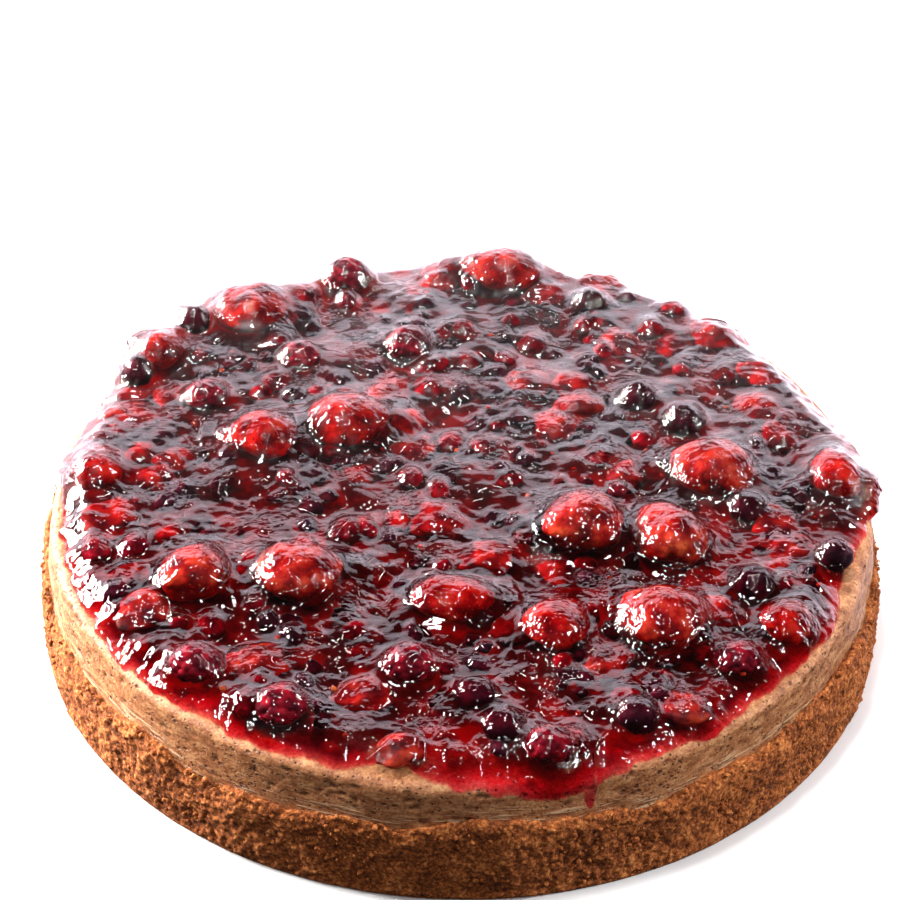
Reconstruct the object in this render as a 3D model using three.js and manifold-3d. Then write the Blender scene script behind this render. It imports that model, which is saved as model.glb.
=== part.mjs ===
// A round mousse cake, 260 mm across and about 58 mm high. A crumbly chocolate sponge carries a layer of
// pale chocolate mousse, and a set berry jelly with whole berries in it covers the top. The jelly runs
// over the mousse's rim in one broad lobe and one thin drip at the front.
//
// Millimetres, +Z up. The origin is the centre of the cake's flat underside, and the front is -Y.

import * as THREE from "three";
import { mergeVertices } from "three/addons/utils/BufferGeometryUtils.js";
import Module from "manifold-3d";

const wasm = await Module();
wasm.setup();

// ---- Driving dimensions ----

const CAKE_RADIUS = 130; // the sponge at its widest, a 26 cm ring's inside
const SPONGE_HEIGHT = 26; // the inside level where the mousse starts
const MOUSSE_TOP = 41;
const JELLY_LEVEL = 48; // the jelly's middle level, before its waves
const TOUCH_GAP = 0.3; // between pieces that lie against each other on curved faces

const SECTORS = 66; // facets round the cake
const SEAM_START = 118; // inside this radius sponge and mousse meet on a level
const SPONGE_RAGGEDNESS = 2.6; // how far that seam rises and falls at the side
const LOWEST_SEAM = 18; // the mousse is cut by the sponge down to here
const CRUMB_RELIEF = 0.6; // how far the sponge's side stands in and out

const MOUSSE_RADIUS = 127.9; // at the seam with the sponge
const MOUSSE_RIM_RADIUS = 126; // where the rounded rim starts
const MOUSSE_RIM_ROUND = 2.6; // how far in and down the rim is rounded

const JELLY_RADIUS = 124; // the jelly's mean outline
const JELLY_SHOULDER = 15; // width of the rounded slope from its edge up to its level
const JELLY_EDGE_WAVE = 1.3;
const JELLY_TOP_WAVE = 1.1;
const JELLY_RINGS = [0.98, 0.945, 0.895, 0.82, 0.73, 0.62, 0.5, 0.38, 0.26, 0.13];
const BERRY_FLOOR = MOUSSE_TOP + 1.5; // berries lie on this thickness of jelly
const POCKET_GAP = 0.8; // a pocket has fewer facets than its berry, and its flats come this much nearer

const degrees = (angle) => (angle * Math.PI) / 180;

// ---- Uneven lines and surfaces ----

/** A smooth closed wave round the cake, between about -1 and 1. Each lobe count turns by its own phase. */
function wave(angle, lobeCounts, seed) {
  const sum = lobeCounts.reduce(
    (total, lobes, i) => total + Math.sin(lobes * angle + seed * (i + 1.7)),
    0,
  );
  return sum / Math.sqrt(2 * lobeCounts.length);
}

/** A smooth bump of height 1 at the bearing, in degrees, that fades out over the given half width. */
function bump(angle, bearing, halfWidth) {
  const turn = Math.atan2(Math.sin(angle - degrees(bearing)), Math.cos(angle - degrees(bearing)));
  return Math.exp(-((turn / degrees(halfWidth)) ** 2));
}

/** Height of the seam between sponge and mousse at the cake's side. */
const seamRise = (angle) =>
  SPONGE_RAGGEDNESS * wave(angle, [3, 7, 13, 22], 2.1) +
  3 * bump(angle, -88, 24) -
  3 * bump(angle, -140, 26);

/** How far the jelly's outline reaches, by the bearing. */
const jellyReach = (angle) =>
  JELLY_RADIUS +
  JELLY_EDGE_WAVE * wave(angle, [5, 9, 16, 27], 4.3) +
  5.5 * bump(angle, -81, 13) + // the broad lobe over the front rim
  3 * bump(angle, 6, 9) -
  7 * bump(angle, -98, 5) - // bare mousse beside the lobe
  4 * bump(angle, -15, 6);

/** Height of the jelly's waving top, well inside its edge. */
const jellyWaves = (x, y) =>
  JELLY_LEVEL +
  JELLY_TOP_WAVE *
    (Math.sin(x / 11 + 1.6 * Math.sin(y / 17)) * Math.cos(y / 8.5 + 1.3 * Math.sin(x / 21)) +
      0.6 * Math.sin(x / 5.7 - y / 9.3 + 2));

// ---- Solids ----

/** A closed geometry as a solid that can be joined and cut. */
function solidOf(geometry) {
  const bare = geometry.clone();
  bare.deleteAttribute("normal");
  bare.deleteAttribute("uv");
  const merged = mergeVertices(bare, 1e-3);
  return new wasm.Manifold(
    new wasm.Mesh({
      numProp: 3,
      vertProperties: merged.attributes.position.array,
      triVerts: new Uint32Array(merged.index.array),
    }),
  );
}

/** A solid's faces as a geometry. */
function geometryOf(solid) {
  const mesh = solid.getMesh();
  return new THREE.BufferGeometry()
    .setAttribute("position", new THREE.BufferAttribute(new Float32Array(mesh.vertProperties), 3))
    .setIndex(new THREE.BufferAttribute(new Uint32Array(mesh.triVerts), 1));
}

/** A turned body whose section changes round the cake: a list of radii and heights at each angle. */
function unevenLathe(sectionAt) {
  const points = sectionAt(0).map(([radius, height]) => new THREE.Vector2(radius, height));
  const geometry = new THREE.LatheGeometry(points, SECTORS).rotateX(Math.PI / 2);
  const position = geometry.attributes.position;
  for (let i = 0; i < position.count; i++) {
    const sector = Math.floor(i / points.length) % SECTORS;
    const angle = (sector * 2 * Math.PI) / SECTORS;
    const [radius, height] = sectionAt(angle)[i % points.length];
    position.setXYZ(i, radius * Math.cos(angle), radius * Math.sin(angle), height);
  }
  return geometry;
}

/** Height of the uneven seam between sponge and mousse, level inside the cake and ragged at its side. */
function seamHeight(radius, angle) {
  const outward = (radius - SEAM_START) / (CAKE_RADIUS - SEAM_START);
  return SPONGE_HEIGHT + outward * seamRise(angle);
}

/** The sponge: flat below, crumbly at the side, its top edge rising and falling. */
function spongeGeometry() {
  return unevenLathe((angle) => {
    const side = (height) => CAKE_RADIUS + CRUMB_RELIEF * wave(angle, [11, 19, 29], 1.1 + height / 3);
    const rim = side(SPONGE_HEIGHT) - 0.6;
    return [
      [0, 0],
      [side(0) - 2.5, 0],
      [side(3), 3],
      [side(9.5), 9.5],
      [side(16) - 0.3, 16],
      [rim, seamHeight(rim, angle)],
      [SEAM_START, SPONGE_HEIGHT],
      [0, SPONGE_HEIGHT],
    ];
  });
}

/**
 * The mousse with a rounded rim, before the sponge is cut from below it. grow thickens its side, to cut
 * its neighbour clear.
 */
function mousseGeometry(grow = 0) {
  return unevenLathe((angle) => {
    const side = grow + 0.4 * wave(angle, [4, 11, 19], 0.6);
    const low = MOUSSE_RADIUS + side;
    const rim = MOUSSE_RIM_RADIUS + side;
    return [
      [0, LOWEST_SEAM],
      [low, LOWEST_SEAM],
      [(low + rim) / 2 + 0.5, (SPONGE_HEIGHT + MOUSSE_TOP) / 2 + 1],
      [rim + 0.6, MOUSSE_TOP - MOUSSE_RIM_ROUND],
      [rim, MOUSSE_TOP - 0.25 * MOUSSE_RIM_ROUND],
      [rim - MOUSSE_RIM_ROUND, MOUSSE_TOP],
      [0, MOUSSE_TOP],
    ];
  });
}

/** The jelly before the berries are set in: flat below, waving on top, its edge rounded down. */
function jellyGeometry() {
  const edgeHeight = MOUSSE_TOP + 1.2;
  return unevenLathe((angle) => {
    const reach = jellyReach(angle);
    const overhang = Math.max(0, reach - MOUSSE_RIM_RADIUS);
    const top = JELLY_RINGS.map((share) => {
      const radius = share * reach;
      const inward = Math.min(1, (reach - radius) / JELLY_SHOULDER);
      const shoulder = Math.sqrt(1 - (1 - inward) ** 2);
      const level = jellyWaves(radius * Math.cos(angle), radius * Math.sin(angle));
      return [radius, edgeHeight + (level - edgeHeight) * shoulder];
    });
    return [
      [0, MOUSSE_TOP],
      [JELLY_RADIUS - 6, MOUSSE_TOP],
      [reach - 0.3, MOUSSE_TOP - 1.5 * overhang],
      [reach, edgeHeight - overhang],
      ...top,
      [0, jellyWaves(0, 0)],
    ];
  });
}

/** One run of jelly down the mousse's side: a flattened drop that ends at the given height. */
function dripGeometry(bearing, width, lowest) {
  const height = MOUSSE_TOP + 1.5 - lowest;
  return new THREE.SphereGeometry(0.5, 12, 10)
    .scale(4.4, width, height)
    .translate(MOUSSE_RADIUS - 0.9, 0, lowest + height / 2)
    .rotateZ(degrees(bearing));
}

// ---- Berries ----

/** A strawberry on its side: rounded at the calyx end and drawn in towards its tip. */
function strawberryGeometry({ length, width, height }, grow = 0, detail = 2) {
  const geometry = new THREE.IcosahedronGeometry(1, detail);
  const position = geometry.attributes.position;
  for (let i = 0; i < position.count; i++) {
    const along = position.getX(i);
    const girth = 1 - 0.22 * along - 0.1 * along * along;
    position.setXYZ(i, along, position.getY(i) * girth, position.getZ(i) * girth);
  }
  return geometry.scale(length / 2 + grow, width / 2 + grow, height / 2 + grow);
}

/** A many-seeded berry: a low round body with swollen drupelets. */
function drupeletGeometry({ length, width, height }, grow = 0, detail = 2) {
  const geometry = new THREE.IcosahedronGeometry(1, detail);
  const position = geometry.attributes.position;
  const point = new THREE.Vector3();
  for (let i = 0; i < position.count; i++) {
    point.fromBufferAttribute(position, i);
    const turn = Math.atan2(point.y, point.x);
    const swell = 1 - 0.06 * (1 + Math.cos(6 * turn) * Math.cos(5 * Math.acos(point.z)));
    position.setXYZ(i, point.x * swell, point.y * swell, point.z * swell);
  }
  return geometry.scale(length / 2 + grow, width / 2 + grow, height / 2 + grow);
}

/** A smooth round berry, such as a blueberry or a currant. */
function roundBerryGeometry({ length, width, height }, grow = 0) {
  const geometry = new THREE.IcosahedronGeometry(1, 1);
  return geometry.scale(length / 2 + grow, width / 2 + grow, height / 2 + grow);
}

const STRAWBERRY_RED = 0xc02417;
const RED_BERRY = 0x7a1226;
const DARK_BLUE = 0x1c1320;

const glossy = (color, roughness = 0.25) =>
  new THREE.MeshStandardMaterial({ color, roughness, metalness: 0 });

// Where each berry lies: distance from the cake's middle and bearing in degrees (-90 is the front),
// then its length, width and height, and the way its long side points.
const strawberries = [
  { out: 90, bearing: -151, length: 21, width: 18, height: 14, turn: 70 },
  { out: 64, bearing: -138, length: 24, width: 21, height: 15, turn: 20 },
  { out: 41, bearing: -28, length: 24, width: 21, height: 16, turn: 200 },
  { out: 66, bearing: -20, length: 26, width: 19, height: 15, turn: 115 },
  { out: 77, bearing: 8, length: 26, width: 20, height: 14, turn: 160 },
  { out: 84, bearing: -45, length: 25, width: 22, height: 15, turn: 150 },
  { out: 70, bearing: -65, length: 19, width: 16, height: 11, turn: 60 },
  { out: 47, bearing: 138, length: 24, width: 19, height: 12, turn: 10 },
  { out: 67, bearing: 160, length: 21, width: 17, height: 11, turn: 175 },
  { out: 53, bearing: -92, length: 23, width: 15, height: 10, turn: 0 },
  { out: 113, bearing: 127, length: 24, width: 19, height: 11, turn: 35 },
  { out: 112, bearing: 84, length: 24, width: 17, height: 13, turn: 170 },
  { out: 118, bearing: 145, length: 17, width: 13, height: 10, turn: 60 },
  { out: 113, bearing: 177, length: 17, width: 13, height: 9, turn: 95 },
  { out: 116, bearing: 5, length: 19, width: 13, height: 10, turn: 100 },
  { out: 114, bearing: -31, length: 15, width: 12, height: 9, turn: 60 },
];
const redBerries = [
  { out: 83, bearing: -100, length: 15, width: 14, height: 11.5, turn: 0 },
  { out: 118, bearing: -77, length: 13, width: 12.5, height: 11, turn: 0 },
  { out: 114, bearing: 110, length: 15, width: 13, height: 12, turn: 20 },
  { out: 74, bearing: 104, length: 14, width: 13, height: 11, turn: 30 },
  { out: 83, bearing: 129, length: 12.5, width: 12, height: 10.5, turn: 0 },
  { out: 113, bearing: -133, length: 14, width: 13, height: 11, turn: 15 },
  { out: 112, bearing: -117, length: 15, width: 13.5, height: 11, turn: 40 },
  { out: 112, bearing: -43, length: 13, width: 12, height: 10, turn: 0 },
  { out: 92, bearing: 152, length: 13, width: 12, height: 10.5, turn: 0 },
];
const roundBerries = [
  { out: 114, bearing: -63, length: 10.5, width: 10, height: 10, turn: 0 },
  { out: 108, bearing: -83, length: 10.5, width: 10, height: 9.5, turn: 0 },
  { out: 117, bearing: -14, length: 10, width: 9.5, height: 9.5, turn: 0 },
  { out: 120, bearing: 137, length: 9.5, width: 9.5, height: 10.5, turn: 0 },
  { out: 118, bearing: 152, length: 8.5, width: 8.5, height: 9.5, turn: 0 },
  { out: 94, bearing: -87, length: 10.5, width: 10, height: 9.5, turn: 0 },
  { out: 98, bearing: -26, length: 11, width: 10.5, height: 9.5, turn: 0 },
  { out: 88, bearing: -5, length: 10, width: 9.5, height: 9, turn: 0 },
  { out: 78, bearing: 27, length: 11, width: 10.5, height: 9.5, turn: 0 },
  { out: 72, bearing: 40, length: 10.5, width: 10, height: 9.5, turn: 0 },
  { out: 104, bearing: 67, length: 10, width: 10, height: 9, turn: 0 },
];
const kinds = [
  ["strawberry", strawberries, strawberryGeometry, STRAWBERRY_RED],
  ["red_berry", redBerries, drupeletGeometry, RED_BERRY],
  ["dark_berry", roundBerries, roundBerryGeometry, DARK_BLUE],
];

/** Puts a berry's geometry, made round the origin, where it lies in the jelly. */
function lay(mesh, berry) {
  const angle = degrees(berry.bearing);
  mesh.position.set(
    berry.out * Math.cos(angle),
    berry.out * Math.sin(angle),
    BERRY_FLOOR + berry.height / 2,
  );
  mesh.rotation.z = degrees(berry.turn);
  mesh.updateMatrixWorld(true);
  return mesh;
}

// ---- The cake ----

const cake = new THREE.Group();

function addPiece(name, geometry, material) {
  const mesh = new THREE.Mesh(geometry, material);
  mesh.name = name;
  cake.add(mesh);
  return mesh;
}

const sponge = spongeGeometry();
addPiece("sponge", sponge, glossy(0x6b3a1c, 0.95));

const raisedSponge = solidOf(sponge.clone().translate(0, 0, TOUCH_GAP));
const mousse = solidOf(mousseGeometry()).subtract(raisedSponge);
addPiece("mousse", geometryOf(mousse), glossy(0xb08a6c, 0.8));

let jelly = solidOf(jellyGeometry())
  .add(solidOf(dripGeometry(-72.5, 4.6, 31)))
  .subtract(solidOf(mousseGeometry(TOUCH_GAP)));

for (const [kind, berries, shape, color] of kinds) {
  berries.forEach((berry, i) => {
    const name = `${kind}_${String(i + 1).padStart(2, "0")}`;
    const mesh = lay(addPiece(name, shape(berry), glossy(color)), berry);
    const pocket = shape(berry, POCKET_GAP, 1).applyMatrix4(mesh.matrixWorld);
    jelly = jelly.subtract(solidOf(pocket));
  });
}
addPiece("jelly", geometryOf(jelly), glossy(0x5a0a14, 0.1));

export default cake;
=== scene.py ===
"""A round mousse cake: crumbly chocolate sponge, pale chocolate mousse and a clear berry jelly full of fruit.

The fruit lies where the frame's nodes are. The jelly is one closed body that runs up over every berry as
a thin film and down over the mousse's rim, so that its colour comes from its depth. Lengths are in
millimetres here, and turn to metres when a mesh is finished.
"""

import logging
import math
import random
from collections.abc import Callable, Iterable, Sequence
from dataclasses import dataclass, field
from enum import Enum
from typing import ClassVar

import bmesh
import bpy
import numpy as np
from bmesh.types import BMesh, BMVert
from bpy.types import Material, Mesh, Node, NodeSocket, NodeTree, Object
from mathutils import Matrix, Vector, noise


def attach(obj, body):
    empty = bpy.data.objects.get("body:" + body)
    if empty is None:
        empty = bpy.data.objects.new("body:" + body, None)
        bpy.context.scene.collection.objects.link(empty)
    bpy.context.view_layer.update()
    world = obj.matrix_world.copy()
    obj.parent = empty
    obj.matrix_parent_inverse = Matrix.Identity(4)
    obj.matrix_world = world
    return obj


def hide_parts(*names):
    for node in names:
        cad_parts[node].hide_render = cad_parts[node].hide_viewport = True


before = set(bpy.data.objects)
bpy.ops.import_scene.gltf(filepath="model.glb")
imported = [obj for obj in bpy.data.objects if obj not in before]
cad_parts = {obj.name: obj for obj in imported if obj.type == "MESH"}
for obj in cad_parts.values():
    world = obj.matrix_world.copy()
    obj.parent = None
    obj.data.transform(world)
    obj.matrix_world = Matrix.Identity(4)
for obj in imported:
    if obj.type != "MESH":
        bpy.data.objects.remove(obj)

Span = tuple[float, float]  # two values, mostly the ends of a range
Triple = tuple[float, float, float]

LOG = logging.getLogger("mousse_cake")
MM = 0.001
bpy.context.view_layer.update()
BODY = "root"
FOOD_IOR = 1.4  # of wet crumb, mousse and jelly


class Slot(Enum):
    """The record's material slots."""

    SPONGE = "sponge"
    MOUSSE = "mousse"
    JELLY = "jelly"
    STRAWBERRY = "strawberry"
    RED_BERRY = "red_berry"
    DARK_BERRY = "dark_berry"


class Grain(Enum):
    """Kinds of noise that shape a surface."""

    SMOOTH = "smooth"
    BILLOWS = "billows"
    RIDGES = "ridges"
    CELLS = "cells"


# ---- Numbers and noise ----


def linear(hex_colour: str) -> tuple[float, float, float, float]:
    """Turns an sRGB hex colour to linear RGBA.

    Args:
        hex_colour: six hex digits after a hash sign.

    Returns:
        The linear colour with an alpha of 1.
    """
    shares = [int(hex_colour[i : i + 2], 16) / 255 for i in (1, 3, 5)]
    red, green, blue = (s / 12.92 if s <= 0.04045 else ((s + 0.055) / 1.055) ** 2.4 for s in shares)
    return red, green, blue, 1.0


def grain(points: np.ndarray, size: float, kind: Grain, seed: float = 0.0) -> np.ndarray:
    """Noise at many points.

    Args:
        points: an (n, 3) array in millimetres.
        size: the width of one bump in millimetres.
        kind: the noise's character.
        seed: moves the pattern, so that two uses differ.

    Returns:
        One value a point: about -1 to 1, or for CELLS the distance to the nearest cell's middle.
    """
    functions: dict[Grain, Callable[[list[float]], float]] = {
        Grain.SMOOTH: noise.noise,
        Grain.BILLOWS: lambda p: noise.fractal(p, 1.0, 2.0, 3),
        Grain.RIDGES: lambda p: noise.ridged_multi_fractal(p, 1.0, 2.0, 3, 1.0, 2.0) - 1.2,
        Grain.CELLS: lambda p: noise.voronoi(p)[0][0],
    }
    places = points / size + np.array([seed * 7.31, seed * 3.17, seed * 5.77])
    return np.array([functions[kind](p) for p in places.tolist()])


def even_directions(count: int) -> np.ndarray:
    """Unit vectors spread evenly over a sphere along a golden spiral.

    Args:
        count: how many.

    Returns:
        A (count, 3) array.
    """
    index = np.arange(count) + 0.5
    height = 1 - 2 * index / count
    turn = np.pi * (1 + 5**0.5) * index
    across = np.sqrt(1 - height**2)
    return np.stack([height, across * np.cos(turn), across * np.sin(turn)], axis=1)


def soft_step(value: np.ndarray, low: float, high: float) -> np.ndarray:
    """A smooth rise from 0 at low to 1 at high."""
    share = np.clip((value - low) / (high - low), 0, 1)
    return share * share * (3 - 2 * share)


def bump(angle: np.ndarray, bearing: float, half_width: float) -> np.ndarray:
    """A bump of height 1 at a bearing, in degrees, that fades over half_width degrees."""
    turn = np.degrees(np.angle(np.exp(1j * (angle - math.radians(bearing)))))
    return np.exp(-((turn / half_width) ** 2))


def wave(angle: np.ndarray, lobe_counts: Sequence[int], seed: float) -> np.ndarray:
    """A closed wave round the cake, the same as the solids have.

    Args:
        angle: bearings in radians.
        lobe_counts: how many crests each part of the wave has.
        seed: turns each part by its own phase.

    Returns:
        Values of about -1 to 1.
    """
    parts = [np.sin(n * angle + seed * (i + 1.7)) for i, n in enumerate(lobe_counts)]
    return sum(parts) / math.sqrt(2 * len(lobe_counts))


def polar(places: np.ndarray) -> tuple[np.ndarray, np.ndarray, np.ndarray]:
    """Bearings, radii and heights of an (n, 3) array of places on the cake."""
    return np.arctan2(places[:, 1], places[:, 0]), np.hypot(places[:, 0], places[:, 1]), places[:, 2]


def from_polar(angle: np.ndarray | float, out: np.ndarray | float, high: np.ndarray | float) -> np.ndarray:
    """Places on the cake from bearings, radii and heights."""
    return np.stack([out * np.cos(angle), out * np.sin(angle), high], axis=-1)


# ---- Meshes ----


def coordinates(mesh: Mesh) -> np.ndarray:
    """A mesh's vertex places as an (n, 3) array."""
    flat = np.empty(len(mesh.vertices) * 3)
    mesh.vertices.foreach_get("co", flat)
    return flat.reshape(-1, 3)


def place_vertices(mesh: Mesh, places: np.ndarray) -> None:
    """Moves a mesh's vertices to the given places."""
    mesh.vertices.foreach_set("co", np.ascontiguousarray(places, dtype=np.float32).ravel())
    mesh.update()


def mesh_of(name: str, build: Callable[[BMesh], None]) -> Mesh:
    """Runs a function that models in a new bmesh, and keeps the result.

    Args:
        name: the mesh's name.
        build: adds and shapes the geometry.

    Returns:
        The new mesh.
    """
    bm = bmesh.new()
    build(bm)
    mesh = bpy.data.meshes.new(name)
    bm.to_mesh(mesh)
    bm.free()
    return mesh


def paint(mesh: Mesh, name: str, values: np.ndarray) -> None:
    """Stores one number a vertex, for a material to read."""
    layer = mesh.attributes.new(name, "FLOAT", "POINT")
    layer.data.foreach_set("value", values.astype(np.float32))


def show(mesh: Mesh, material: Material, stands_for: Iterable[str] = ()) -> Object:
    """Makes a finished piece of the cake from a mesh in millimetres.

    Args:
        mesh: the shape, in place.
        material: its finish.
        stands_for: the frame's nodes that it takes the place of.

    Returns:
        The piece, riding on the cake's body.
    """
    mesh.transform(Matrix.Scale(MM, 4))
    mesh.materials.append(material)
    mesh.shade_smooth()
    piece = bpy.data.objects.new(mesh.name, mesh)
    bpy.context.scene.collection.objects.link(piece)
    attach(piece, BODY)
    if stands_for:
        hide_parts(*stands_for)
    LOG.info("%s: %d faces", piece.name, len(mesh.polygons))
    return piece


def turned(name: str, section: Sequence[Span], sectors: int) -> Mesh:
    """Rolls a grid round the axis into a closed body.

    Args:
        name: the mesh's name.
        section: radii and heights, in order from the axis back to the axis.
        sectors: steps round the axis.

    Returns:
        The closed mesh, faces outward.
    """
    stations = len(section) - 1

    def build(bm: BMesh) -> None:
        """Bends a flat grid to the section and round the axis."""
        bmesh.ops.create_grid(bm, x_segments=sectors, y_segments=stations, size=0.5)
        for vert in bm.verts:
            angle = 2 * math.pi * (vert.co.x + 0.5)
            radius, height = section[round((vert.co.y + 0.5) * stations)]
            vert.co = radius * math.cos(angle), radius * math.sin(angle), height
        bmesh.ops.remove_doubles(bm, verts=bm.verts, dist=1e-3)
        bmesh.ops.recalc_face_normals(bm, faces=bm.faces)

    return mesh_of(name, build)


def scattered(name: str, places: Sequence[Matrix], subdivisions: int = 1) -> Mesh:
    """Many small round bodies in one mesh.

    Args:
        name: the mesh's name.
        places: where each lies, with its turn and its half sizes.
        subdivisions: how fine each one is.

    Returns:
        The mesh.
    """
    batch = 60  # a small bmesh takes new bodies much faster than a large one

    def build_some(part: BMesh, some: Sequence[Matrix]) -> None:
        """Adds one batch of bodies."""
        for place in some:
            bmesh.ops.create_icosphere(part, subdivisions=subdivisions, radius=1, matrix=place)

    def build(bm: BMesh) -> None:
        """Joins the batches."""
        for start in range(0, len(places), batch):
            made = mesh_of(name, lambda part: build_some(part, places[start : start + batch]))
            bm.from_mesh(made)
            bpy.data.meshes.remove(made)

    return mesh_of(name, build)


def pose_of(place: Sequence[float], turn: Matrix, half_sizes: Sequence[float]) -> Matrix:
    """One matrix from a place, a turn and three half sizes."""
    return Matrix.Translation(place) @ turn.to_4x4() @ Matrix.Diagonal((*half_sizes, 1))


# ---- Materials ----


def add_node(
    tree: NodeTree,
    kind: str,
    inputs: dict | None = None,
    stops: dict[float, str] | None = None,
    **settings,
) -> Node:
    """Adds a node with its settings and links.

    Args:
        tree: the material's node tree.
        kind: the node's type name, without the words that all of them start with.
        inputs: by socket name or number, a value or another node's output.
        stops: a colour ramp's sRGB hex colours, by their place on it.
        settings: the node's own properties.

    Returns:
        The node.
    """
    node = tree.nodes.new(f"ShaderNode{kind}")
    for key, value in settings.items():
        setattr(node, key, value)
    for key, value in (inputs or {}).items():
        if isinstance(value, NodeSocket):
            tree.links.new(value, node.inputs[key])
        else:
            node.inputs[key].default_value = value
    if stops:
        elements = node.color_ramp.elements
        while len(elements) < len(stops):
            elements.new(1.0)
        for element, (place, colour) in zip(elements, sorted(stops.items())):
            element.position, element.color = place, linear(colour)
    return node


def pattern(
    tree: NodeTree,
    bump_width: float,
    detail: float = 3.0,
    stretch: Triple = (1, 1, 1),
    fineness: float = 0.5,
    creased: bool = False,
) -> NodeSocket:
    """Solid noise on the piece.

    Args:
        tree: the material's node tree.
        bump_width: the width of one bump in millimetres.
        detail: octaves of finer bumps.
        stretch: how many times longer the bumps are along each axis.
        fineness: how strong each finer octave is beside the one before it.
        creased: whether the bumps meet in sharp ridges.

    Returns:
        A 0 to 1 value.
    """
    place = in_bumps(tree, bump_width, stretch)
    inputs = {"Vector": place, "Scale": 1.0, "Detail": detail, "Roughness": fineness}
    kind = "RIDGED_MULTIFRACTAL" if creased else "FBM"
    return add_node(tree, "TexNoise", inputs, noise_type=kind).outputs["Fac"]


def pores(tree: NodeTree, spacing: float, widest: float, stretch: Triple) -> NodeSocket:
    """Uneven pores through the piece, of all widths up to the widest where the surface cuts them.

    Args:
        tree: the material's node tree.
        spacing: the distance between their middles in millimetres.
        widest: the radius of a pore as a share of the spacing.
        stretch: how many times longer they are along each axis.

    Returns:
        1 in a pore and 0 between them.
    """
    bend, crowding, sharpness = 0.3, 0.35, 0.4
    even = 0.17  # half the crowding, which is what its pattern adds in the middle
    place = in_bumps(tree, spacing, stretch)
    bent = add_node(tree, "TexNoise", {"Vector": place, "Scale": 2.2, "Detail": 2.0}).outputs["Color"]
    inputs = {0: bent, 1: (bend, bend, bend), 2: place}
    place = add_node(tree, "VectorMath", inputs, operation="MULTIPLY_ADD").outputs[0]
    far = add_node(tree, "TexVoronoi", {"Vector": place, "Scale": 1.0}).outputs["Distance"]
    inputs = {0: pattern(tree, 4 * spacing, 2), 1: crowding, 2: far}
    far = add_node(tree, "Math", inputs, operation="MULTIPLY_ADD").outputs[0]
    inputs = {"Value": far, "From Min": widest + even, "From Max": widest * sharpness + even}
    return add_node(tree, "MapRange", inputs).outputs[0]


def in_bumps(tree: NodeTree, width: float, stretch: Triple) -> NodeSocket:
    """The piece's own coordinates, counted in bumps of a width in millimetres."""
    place = add_node(tree, "TexCoord").outputs["Object"]
    inputs = {"Vector": place, "Scale": [1 / (width * MM * s) for s in stretch]}
    return add_node(tree, "Mapping", inputs).outputs[0]


def new_material(name: str, constants: dict) -> tuple[Material, NodeTree, Node]:
    """A material with a Principled shader.

    Args:
        name: what the material is.
        constants: values of the shader's own sockets, by name.

    Returns:
        The material, its node tree and its shader.
    """
    material = bpy.data.materials.new(name)
    material.use_nodes = True
    tree = material.node_tree
    shader = tree.nodes["Principled BSDF"]
    for socket, value in constants.items():
        shader.inputs[socket].default_value = value
    return material, tree, shader


def lay_relief(tree: NodeTree, shader: Node, layers: Iterable[tuple[NodeSocket, float]]) -> None:
    """Lays patterns over one another as a finish's relief.

    Args:
        tree: the material's node tree.
        shader: its shader.
        layers: each pattern with its depth in millimetres, the undermost first.
    """
    inputs = {}
    for height, depth in layers:
        inputs |= {"Height": height, "Distance": depth * MM}
        inputs["Normal"] = add_node(tree, "Bump", inputs).outputs[0]
    tree.links.new(inputs["Normal"], shader.inputs["Normal"])


@dataclass(frozen=True)
class BakedCrumb:
    """Chocolate sponge: open baked crumb. Matt and rough all over, with painted shade between its crumbs and
    painted light on those that stand out.
    """

    # painted shade in the gaps between crumbs
    crevice_shade: str = "#240b02"
    crumb: str = "#743a14"
    crust: str = "#b1602c"
    # painted light on the crumbs that stand out most
    tip: str = "#da8f4e"
    crumb_width: float = 1.1
    patch_width: float = 6.0
    relief: float = 0.7
    roughness: float = 0.92
    stand_shade_weight: float = 0.7  # how much a crumb's own height counts beside the fine mottle: painted shade in the gaps, painted light on the tips
    patch_weight: float = 0.9  # and how much the broad patches do
    total_weight: float = 2.5

    def material(self) -> Material:
        """Builds the finish."""
        constants = {"Roughness": self.roughness, "IOR": FOOD_IOR}
        made, tree, shader = new_material("baked_chocolate_crumb", constants)
        fine = pattern(tree, self.crumb_width, 4, fineness=0.65)
        broad = pattern(tree, self.patch_width, 3, fineness=0.6)
        # how far each crumb stands out, for painted shade in the gaps and painted light on the tips
        stand = add_node(tree, "Attribute", attribute_name="stand").outputs["Fac"]
        inputs = {"Value": fine, "From Min": 0.3, "From Max": 0.7}
        shade = add_node(tree, "MapRange", inputs).outputs[0]
        for part, weight in ((broad, self.patch_weight), (stand, self.stand_shade_weight)):
            inputs = {0: part, 1: weight, 2: shade}
            shade = add_node(tree, "Math", inputs, operation="MULTIPLY_ADD").outputs[0]
        shade = add_node(tree, "Math", {0: shade, 1: self.total_weight}, operation="DIVIDE").outputs[0]
        stops = {0.26: self.crevice_shade, 0.47: self.crumb, 0.62: self.crust, 0.76: self.tip}
        colour = add_node(tree, "ValToRGB", {"Fac": shade}, stops).outputs["Color"]
        tree.links.new(colour, shader.inputs["Base Color"])
        lay_relief(tree, shader, [(fine, self.relief)])
        return made


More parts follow.
